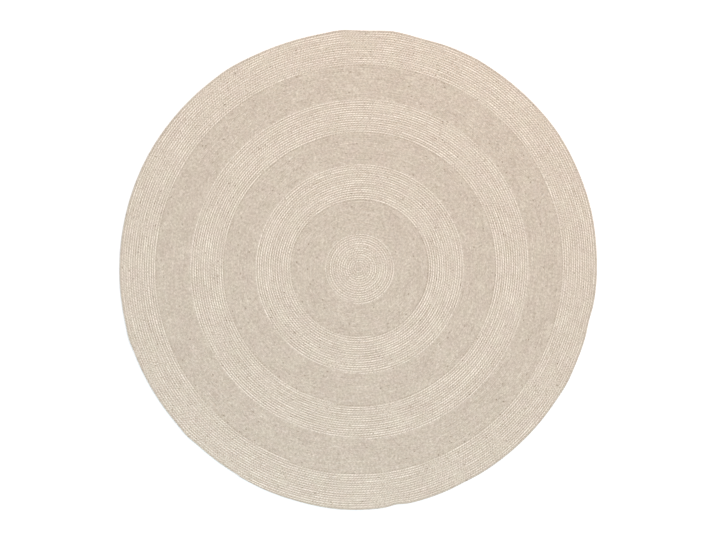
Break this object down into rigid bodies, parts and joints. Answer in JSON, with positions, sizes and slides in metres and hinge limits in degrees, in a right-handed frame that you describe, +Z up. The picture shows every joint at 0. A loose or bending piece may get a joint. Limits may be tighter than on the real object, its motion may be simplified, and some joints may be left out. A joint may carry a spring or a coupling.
{
  "type": "round jute rug",
  "caption": "Round flat rug of cord wound in a coil and sewn turn to turn, with alternating plain natural and fine striped concentric bands.",
  "frame": {"origin": "middle of the outline at the underside, which lies on the floor", "axes": "+Z up out of the face that is walked on; seen from above the coil runs clockwise outward and its loose end lies at the rim towards -Y, to the left"},
  "size_m": [1.9974, 2.0078, 0.007],
  "materials": {
    "natural_jute": "matt natural jute cord, sewn side by side, grainy and slightly mottled",
    "striped_jute": "matt jute cord in fine stripes, one natural and one off-white cord side by side in each turn"
  },
  "bodies": {
    "root": {"striped_centre": "striped_jute", "natural_inner": "natural_jute", "striped_inner": "striped_jute", "natural_middle": "natural_jute", "striped_middle": "striped_jute", "natural_outer": "natural_jute", "striped_outer": "striped_jute"}
  },
  "joints": []
}
